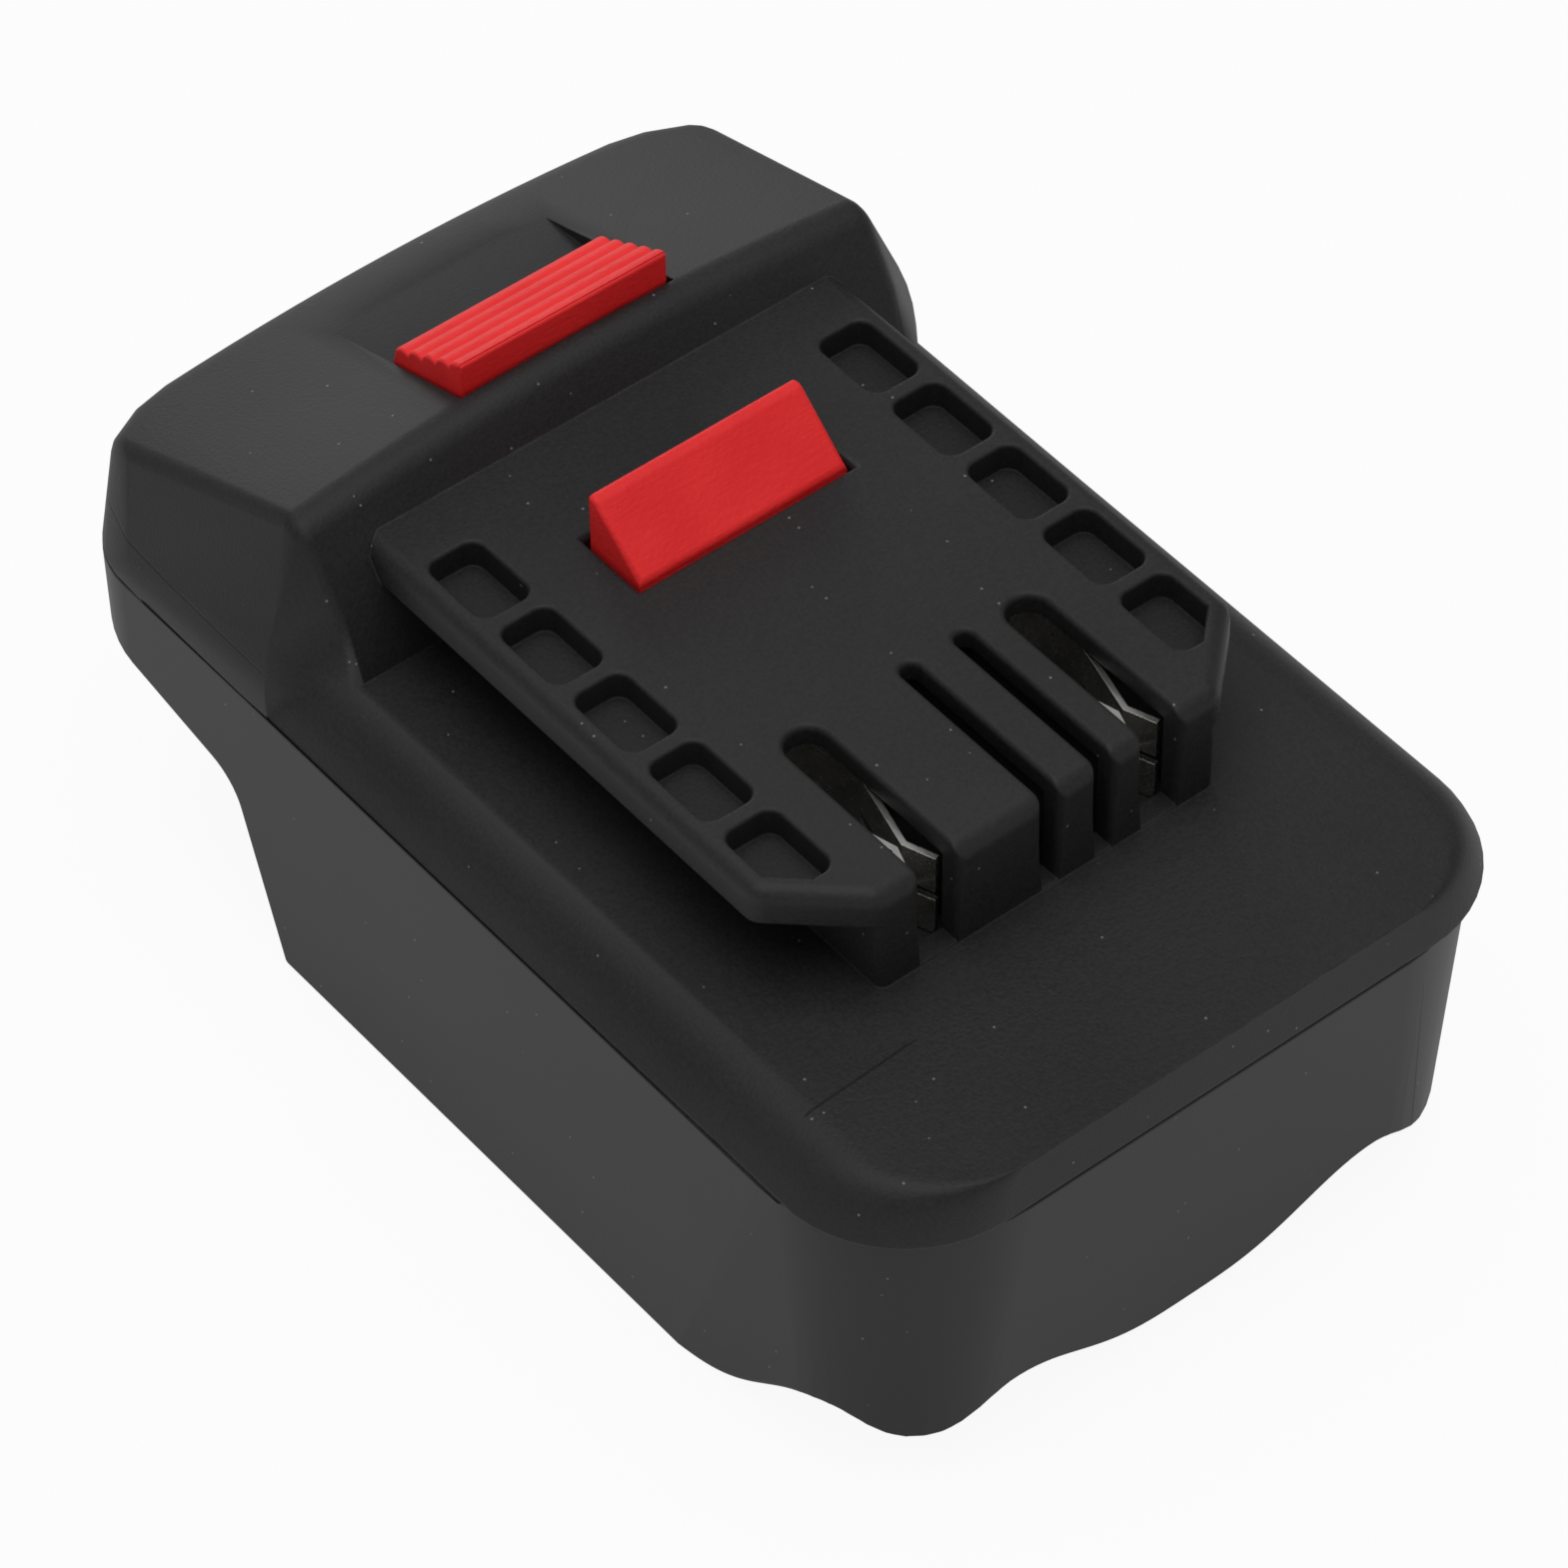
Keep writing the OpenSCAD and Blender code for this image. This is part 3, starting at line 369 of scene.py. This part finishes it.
def cover_radius(middle, normals):
    x, y, z = middle
    upright = all(abs(n.z) < upright_limit for n in normals)
    on_flange = near(abs(x), flange_side) or on_chamfer(x, y)
    if near(z, tongue_top) and y < tongue_rear:
        if near(y, web_front):
            return fingertip_radius
        if on_flange:
            return flange_radius
        return slot_radius if abs(x) < slot_side else pocket_radius
    if upright and near(y, web_front) and plate_top < z < tongue_top:
        return finger_side_radius
    if upright and on_flange and flange_under < z < tongue_top and y < 0:
        return flange_corner_radius
    if near(z, flange_under) and on_flange and y < tongue_rear:
        return flange_lower_radius
    if near(z, seam) and min(n.z for n in normals) < downward_limit:
        return seam_radius if on_outline(x, y, **cover_outline) else 0
    return 0


cover_skin = joined_copy("upper_housing")
print("rounded edges", weigh_edges(cover_skin, cover_radius))
cover = finish_piece(cover_skin, "cover_shell", "upper_housing", "housing")

# %% [markdown]
# ## The lower housing
# The socket shell has thin walls with broken edges, a soft wave along its front rim, and one crisp
# crease on each flank where the flat side turns into the swept front corner. Only the edges that
# show get a radius. The crease bends too little to be found by its angle, so its edges are found by
# their place and marked as sharp.

# %% Radii of the lower housing
rim_radius = 0.5
rim_highest = 27
seam_room = 0.05
socket_outline = {"side": 35.2, "end": 55.5, "front": (20, 44), "rear": (24, 46)}
socket_sharp = 11


def socket_radius(middle, normals):
    x, y, z = middle
    outer = on_outline(x, y, **socket_outline)
    if near(z, seam, seam_room):
        return seam_radius if outer else 0
    if z < rim_highest and outer:
        return rim_radius
    return 0


socket_skin = joined_copy("lower_housing")
print("rounded edges", weigh_edges(socket_skin, socket_radius))
socket = finish_piece(socket_skin, "socket_shell", "lower_housing", "housing",
                      sharp=socket_sharp)

# %% The crease of the lower housing
crease_foot = Vector((37.3, -30.15))
crease_top = Vector((37.9, -42.75))
crease_room = 0.3


def on_crease(point):
    """True on the line where the flat side meets the swept corner."""
    x, y, z = point / MM
    line_x, line_y = crease_foot.lerp(crease_top, z / seam)
    return near(abs(x), line_x, crease_room) and near(y, line_y, crease_room)


spots = socket.data.vertices
crisp = socket.data.attributes["sharp_edge"].data
creases = [e.index for e in socket.data.edges if all(on_crease(spots[i].co) for i in e.vertices)]
for index in creases:
    crisp[index].value = True
print("crease edges", len(creases))

# %% [markdown]
# ## The release latch
# One red moulding: the ribbed button on the head and the wedge on the tongue. Its corners are soft,
# so they catch a thin line of light. Everything below the cover stays as it was built.

# %% Radii of the release latch
wedge_radius = 0.5
button_radius = 0.3
hidden_depth = 0.5


def latch_radius(middle, normals):
    x, y, z = middle
    if z < tongue_top - hidden_depth:
        return 0
    return wedge_radius if y < tongue_rear else button_radius


latch_skin = joined_copy("release_latch")
print("rounded edges", weigh_edges(latch_skin, latch_radius))
latch = finish_piece(latch_skin, "latch_moulding", "release_latch", "latch")

# %% [markdown]
# ## The latch springs
# Two small compression springs push the latch up. In the solids they are plain tubes; here each is
# a real coil. A curve with a bevel could do it, but a spun circle that climbs a little at every
# step is a coil in one call. The end turns lie close together, as ground spring ends do, and the
# turns between them are open.

# %% Coils in place of the tubes
WIRE = 0.7 * MM
WIRE_SIDES = 10
END_TURNS = 1
OPEN_TURNS = 5
STEPS_A_TURN = 28
RING_WELD = 0.001 * MM


def coil_spring(node, name):
    """A coil as wide and as high as the tube of the CAD node, on the same axis."""
    low, high = (Vector(corner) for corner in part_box(node))
    axis = (low + high) / 2
    ring_radius = (high.x - low.x - WIRE) / 2
    climb = high.z - low.z - WIRE
    pitch_open = (climb - 2 * END_TURNS * WIRE) / OPEN_TURNS
    bm = bmesh.new()
    ends = bmesh.ops.create_circle(bm, segments=WIRE_SIDES, radius=WIRE / 2)["verts"]
    bmesh.ops.rotate(bm, verts=ends, cent=(0, 0, 0), matrix=Matrix.Rotation(math.pi / 2, 3, "X"))
    bmesh.ops.translate(bm, verts=ends, vec=(axis.x + ring_radius, axis.y, low.z + WIRE / 2))
    last = bm.verts[:] + bm.edges[:]
    for turns, pitch in ((END_TURNS, WIRE), (OPEN_TURNS, pitch_open), (END_TURNS, WIRE)):
        made = bmesh.ops.spin(bm, geom=last, cent=axis, axis=(0, 0, 1), angle=math.tau * turns,
                              dvec=(0, 0, pitch / STEPS_A_TURN), steps=STEPS_A_TURN * turns,
                              use_merge=False)
        last = made["geom_last"]
    bmesh.ops.remove_doubles(bm, verts=bm.verts, dist=RING_WELD)
    bmesh.ops.holes_fill(bm, edges=[e for e in bm.edges if len(e.link_faces) == 1], sides=0)
    bmesh.ops.recalc_face_normals(bm, faces=bm.faces)
    mesh = bpy.data.meshes.new(name)
    bm.to_mesh(mesh)
    bm.free()
    mesh.polygons.foreach_set("use_smooth", [True] * len(mesh.polygons))
    coil = bpy.data.objects.new(name, mesh)
    bpy.context.scene.collection.objects.link(coil)
    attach(coil, "housing")
    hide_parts(node)
    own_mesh(coil)
    return coil


coils = [coil_spring("latch_spring_" + side, "latch_coil_" + side) for side in ("left", "right")]

# %% [markdown]
# ## Patterns shared by the finishes
# The moulded pieces have a fine grain from the mould and a few specks of dust, and their edges are
# painted a little lighter: partly wear, partly a painted highlight where an edge catches the light.
# The patterns are written once. The Bevel node looks a fraction of a millimetre around each point, so
# it softens the small edges that were not rounded, and where its answer departs from the surface
# there is an edge.

# %% Grain, specks, and edges painted lighter (wear and painted highlight)
COOL_TINT = 1.04
EDGE_SAMPLES = 4
WEAR_AND_HIGHLIGHT_FROM = 0.01
WEAR_AND_HIGHLIGHT_FULLY = 0.12


def grain(place, size, detail=2.0):
    """Soft random spots of about this size in millimetres, from 0 to 1."""
    return place.make("ShaderNodeTexNoise", {},
                      {"Vector": place, "Scale": 1 / (size * MM), "Detail": detail})


def specks(place, spread, radius):
    """Small round dots, 1 inside a dot: their spread and their radius are in millimetres."""
    dots = place.make("ShaderNodeTexVoronoi", {}, {"Vector": place, "Scale": 1 / (spread * MM)})
    return 1 - dots.step(0.5 * radius / spread, radius / spread)


def soft_edges(start, radius):
    """The surface's normal with its sharp edges eased over a radius in millimetres."""
    return start.make("ShaderNodeBevel", {"samples": EDGE_SAMPLES}, {"Radius": radius * MM})


# Edges painted lighter: partly wear, partly a painted highlight where an edge catches the light.
def edge_wear_and_highlight(soft):
    """1 on an edge that the Bevel node has softened, 0 away from edges."""
    flat = soft.make("ShaderNodeNewGeometry", out="Normal")
    same = soft.make("ShaderNodeVectorMath", {"operation": "DOT_PRODUCT"}, {0: soft, 1: flat},
                     out="Value")
    return (1 - same).step(WEAR_AND_HIGHLIGHT_FROM, WEAR_AND_HIGHLIGHT_FULLY)


def bumped(height, depth, soft):
    """The normal of a surface with this relief, as deep as depth in millimetres."""
    return height.make("ShaderNodeBump", {},
                       {"Strength": 1.0, "Distance": depth * MM, "Height": height, "Normal": soft})


def grey(value):
    """A grey with a slightly cool tint."""
    return (value, value, value * COOL_TINT, 1)


def put_on(piece, finish):
    """Gives a new piece its only finish."""
    piece.data.materials.clear()
    piece.data.materials.append(finish)
    print("finish", finish.name, "nodes", len(finish.node_tree.nodes))


print("patterns ready")

# %% [markdown]
# ## Cover: charcoal plastic from a spark-eroded mould
# The upper shell is almost black with a dry, fine grain. A faint dark line from a mould insert
# crosses the plate left of the tongue, and the grain in front of it is a little deeper. A like line
# runs along the head's ends at the height of the plate. Dust shows as pale pin pricks. The edges are
# painted a little paler, partly as wear and partly as a painted highlight.

# %% Finish of the cover
finish, start, place = new_finish("cover_charcoal")
along = start.make("ShaderNodeSeparateXYZ", {}, {0: place}, out="X")
x, y, z = along, along.also("Y"), along.also("Z")
insert_line_y = -41.4 * MM
insert_line_lean = 0.042
insert_line_end = (-20.8 * MM, -19.8 * MM)
line_edge = (0.05 * MM, 0.14 * MM)
plate_edge = (0.1 * MM, 0.2 * MM)
head_end_x = (32 * MM, 33 * MM)
head_end_y = (27 * MM, 28 * MM)
grain_change = 1.5 * MM
leaning = y - x * insert_line_lean
from_plate = z.away_from(plate_top * MM)
on_plate = 1 - from_plate.step(*plate_edge)
left_of_tongue = 1 - x.step(*insert_line_end)
plate_line = (1 - leaning.away_from(insert_line_y).step(*line_edge)) * on_plate * left_of_tongue
at_head_end = x.away_from(0).step(*head_end_x) * y.step(*head_end_y)
insert_line = plate_line + (1 - from_plate.step(*line_edge)) * at_head_end
front_of_plate = (1 - leaning.step(insert_line_y, insert_line_y + grain_change)) * on_plate

soft = soft_edges(start, radius=0.28)
# Edge mask in patches: partly wear, partly painted highlight.
wear_and_highlight = edge_wear_and_highlight(soft) * grain(place, size=3.0).step(0.3, 0.6)
dust = specks(place, spread=2.9, radius=0.17)
clouds = grain(place, size=28.0)
fine = grain(place, size=0.36, detail=3.0)
shade = (clouds * 0.45 + fine * 0.55).step(0.35, 0.65)
colour = shade.blend(grey(0.0115), grey(0.0195))
# Edges painted paler: partly wear, partly a painted highlight.
colour = (wear_and_highlight * 0.55).blend(colour, grey(0.055))
colour = (insert_line * 0.8).blend(colour, grey(0.004))
colour = dust.blend(colour, grey(0.16))
roughness = 0.48 + fine * 0.14 - wear_and_highlight * 0.08
height = fine * (0.7 + front_of_plate * 0.6) + dust * 0.5 - insert_line * 1.5
normal = bumped(height, depth=0.05, soft=soft)
close_finish(start, {"Specular IOR Level": 0.32},
             {"Base Color": colour, "Roughness": roughness, "Normal": normal})
put_on(cover, finish)

# %% [markdown]
# ## Socket: satin plastic
# The lower shell comes from a smoother mould, so its grain is finer and it is a little glossier.
# Some dust lies on it too.

# %% Finish of the socket
finish, start, place = new_finish("socket_satin")
soft = soft_edges(start, radius=0.25)
# Edge mask in patches: partly wear, partly painted highlight.
wear_and_highlight = edge_wear_and_highlight(soft) * grain(place, size=4.0).step(0.3, 0.65)
dust = specks(place, spread=3.2, radius=0.16)
fine = grain(place, size=0.22)
clouds = grain(place, size=35.0)
colour = clouds.step(0.3, 0.7).blend(grey(0.0110), grey(0.0150))
# Edges painted paler: partly wear, partly a painted highlight.
colour = (wear_and_highlight * 0.5).blend(colour, grey(0.05))
colour = dust.blend(colour, grey(0.15))
normal = bumped(fine + dust * 0.5, depth=0.008, soft=soft)
close_finish(start, {"Specular IOR Level": 0.28},
             {"Base Color": colour, "Roughness": 0.42 + clouds * 0.08, "Normal": normal})
put_on(socket, finish)

# %% [markdown]
# ## Latch: red plastic with a fine texture of its own
# The latch is moulded in signal red. Its slope and its ribs have a fine orange-peel texture, and
# along the ribs run faint streaks from the cutter that made the mould. Edges are paler, where the
# light catches them.

# %% Finish of the latch
finish, start, place = new_finish("latch_red")
soft = soft_edges(start, radius=0.25)
# Painted highlight: the edge mask, used here without any wear pattern.
wear_and_highlight = edge_wear_and_highlight(soft)
peel = grain(place, size=0.55, detail=3.0)
stretched = start.make("ShaderNodeMapping", {}, {"Vector": place, "Scale": (0.12, 1.0, 1.0)})
streaks = grain(stretched, size=0.30)
clouds = grain(place, size=9.0)
colour = clouds.step(0.3, 0.7).blend((0.84, 0.018, 0.020, 1), (0.93, 0.027, 0.028, 1))
# Painted highlight: edges a paler red where the light catches them.
colour = (wear_and_highlight * 0.35).blend(colour, (0.95, 0.085, 0.085, 1))
colour = specks(place, spread=2.4, radius=0.10).blend(colour, (0.75, 0.25, 0.24, 1))
normal = bumped(peel + streaks * 0.5, depth=0.06, soft=soft)
close_finish(start, {"Specular IOR Level": 0.3},
             {"Base Color": colour, "Roughness": 0.46 + peel * 0.16, "Normal": normal})
put_on(latch, finish)

# %% [markdown]
# ## Metal: plated contacts, steel screws and springs
# The clips and blades are stamped from sheet and plated bright, so they mirror the studio with
# faint rolling lines. Screws and springs are plain steel, a little darker, with marks of turning
# and drawing.

# %% Finishes of the metal pieces


def metal_finish(name, dark, light, roughness, lines):
    """Bright metal with fine lines: lines gives how the grain is stretched along X, Y and Z."""
    finish, start, place = new_finish(name)
    stretched = start.make("ShaderNodeMapping", {}, {"Vector": place, "Scale": lines})
    streaks = grain(stretched, size=0.12, detail=3.0)
    clouds = grain(place, size=2.5)
    soft = soft_edges(start, radius=0.08)
    colour = (clouds * 0.6 + streaks * 0.4).step(0.25, 0.75).blend(dark, light)
    close_finish(start, {"Metallic": 1.0},
                 {"Base Color": colour, "Roughness": roughness + streaks * 0.12 + clouds * 0.06,
                  "Normal": bumped(streaks, depth=0.004, soft=soft)})
    print("finish", name, "nodes", len(finish.node_tree.nodes))
    return finish


def dress(names, finish):
    """Gives CAD nodes a finish in place of their plain one."""
    for name in names:
        nodes[name].material_slots[0].material = finish
    print(finish.name, "on", ", ".join(names))


plated = metal_finish("contact_plating", dark=(0.62, 0.61, 0.58, 1), light=(0.80, 0.79, 0.76, 1),
                      roughness=0.16, lines=(1.0, 0.08, 1.0))
dress(["terminal_clip_positive", "terminal_clip_negative", "blade_positive", "blade_negative"], plated)
turned = metal_finish("screw_steel", dark=(0.36, 0.37, 0.39, 1), light=(0.52, 0.53, 0.55, 1),
                      roughness=0.26, lines=(1.0, 1.0, 0.3))
dress(["contact_carrier_screws", "terminal_block_screws", "housing_screws"], turned)
drawn = metal_finish("spring_wire", dark=(0.30, 0.31, 0.33, 1), light=(0.48, 0.49, 0.51, 1),
                     roughness=0.24, lines=(0.3, 0.3, 1.0))
for coil in coils:
    coil.data.materials.append(drawn)

# %% [markdown]
# ## Inner plastic and leads
# The carrier and the terminal block are plain black mouldings that nobody sees once the adapter is
# shut. The leads have soft insulation, red and black, with a slight waxy sheen.

# %% Finishes of the inner pieces


def inner_finish(name, dark, light, roughness, size):
    """Plain plastic or insulation: size is its grain in millimetres."""
    finish, start, place = new_finish(name)
    soft = soft_edges(start, radius=0.15)
    fine = grain(place, size, detail=3.0)
    clouds = grain(place, size=8.0)
    colour = (clouds * 0.7 + fine * 0.3).step(0.3, 0.7).blend(dark, light)
    # Edges painted paler: partly wear, partly a painted highlight.
    colour = (edge_wear_and_highlight(soft) * 0.4).blend(colour, grey(0.06))
    close_finish(start, {"Specular IOR Level": 0.35},
                 {"Base Color": colour, "Roughness": roughness + fine * 0.12,
                  "Normal": bumped(fine, depth=0.012, soft=soft)})
    print("finish", name, "nodes", len(finish.node_tree.nodes))
    return finish


block_black = inner_finish("inner_black", dark=grey(0.008), light=grey(0.013), roughness=0.5, size=0.3)
dress(["contact_carrier", "terminal_block"], block_black)
red_skin = inner_finish("lead_red_skin", dark=(0.30, 0.012, 0.012, 1), light=(0.42, 0.02, 0.02, 1),
                        roughness=0.34, size=0.5)
dress(["lead_positive"], red_skin)
black_skin = inner_finish("lead_black_skin", dark=grey(0.010), light=grey(0.018), roughness=0.34, size=0.5)
dress(["lead_negative"], black_skin)
